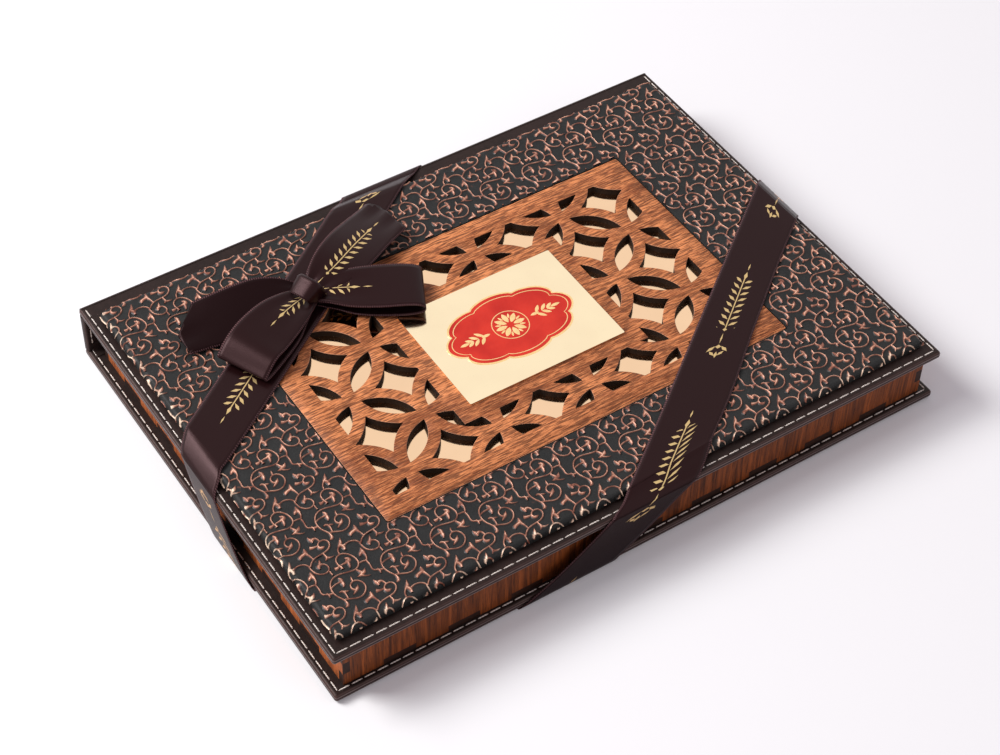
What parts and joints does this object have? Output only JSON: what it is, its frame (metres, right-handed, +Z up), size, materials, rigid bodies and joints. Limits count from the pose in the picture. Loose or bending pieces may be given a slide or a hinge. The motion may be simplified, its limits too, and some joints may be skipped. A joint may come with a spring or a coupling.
{
  "type": "turkish delight box",
  "caption": "Book-style sweets box: leather case folding at its spine, finger-jointed wooden tray with dividers, pierced fretwork panel on the lid and a slantwise ribbon tied in a bow.",
  "frame": {"origin": "middle of the box's plan, on the surface it stands on", "axes": "+X right along the long side, +Y from the fore-edge to the spine, +Z up"},
  "size_m": [0.2764, 0.2014, 0.0408],
  "materials": {
    "case_leather": "smooth, semi-gloss dark brown",
    "lining_leather": "smooth dark brown",
    "embossed_leather": "charcoal, embossed with copper scrolls",
    "grey_board": "plain",
    "tray_wood": "veneered board, laser-charred edges",
    "divider_card": "dark brown",
    "liner_paper": "matte",
    "gold_sheet": "gold mirror",
    "gold_plate": "gold mirror",
    "fret_wood": "open grain, satin",
    "satin_ribbon": "satin"
  },
  "bodies": {
    "base": {"base_board": "grey_board", "base_outer_leather": "case_leather", "base_inner_leather": "lining_leather", "tray_floor": "tray_wood", "tray_front_wall": "tray_wood", "tray_back_wall": "tray_wood", "tray_left_wall": "tray_wood", "tray_right_wall": "tray_wood", "liner_sheet": "liner_paper", "divider_long": "divider_card", "divider_cross_1": "divider_card", "divider_cross_2": "divider_card", "ribbon_under_front": "satin_ribbon", "ribbon_under_back": "satin_ribbon"},
    "spine": {"spine_board": "grey_board", "spine_outer_leather": "case_leather", "spine_inner_leather": "lining_leather", "ribbon_drop_spine": "satin_ribbon"},
    "lid": {"lid_board": "grey_board", "lid_outer_leather": "case_leather", "lid_inner_leather": "lining_leather", "panel_board": "grey_board", "panel_leather": "embossed_leather", "mirror_sheet": "gold_sheet", "fretwork_panel": "fret_wood", "centre_plate": "gold_plate", "ribbon_band_bow": "satin_ribbon", "ribbon_band_plain": "satin_ribbon", "ribbon_drop_left": "satin_ribbon", "ribbon_drop_right": "satin_ribbon", "ribbon_drop_front": "satin_ribbon", "bow_knot": "satin_ribbon", "bow_loop_right": "satin_ribbon", "bow_loop_left": "satin_ribbon", "bow_tail_upper": "satin_ribbon", "bow_tail_left": "satin_ribbon"}
  },
  "joints": [
    {"name": "spine_fold", "type": "hinge", "parent": "base", "child": "spine", "pos_m": [0, 0.09825, 0.00215], "axis": [-1, 0, 0], "range_deg": [0, 45]},
    {"name": "lid_fold", "type": "hinge", "parent": "spine", "child": "lid", "pos_m": [0, 0.09825, 0.02465], "axis": [-1, 0, 0], "range_deg": [0, 120]}
  ]
}
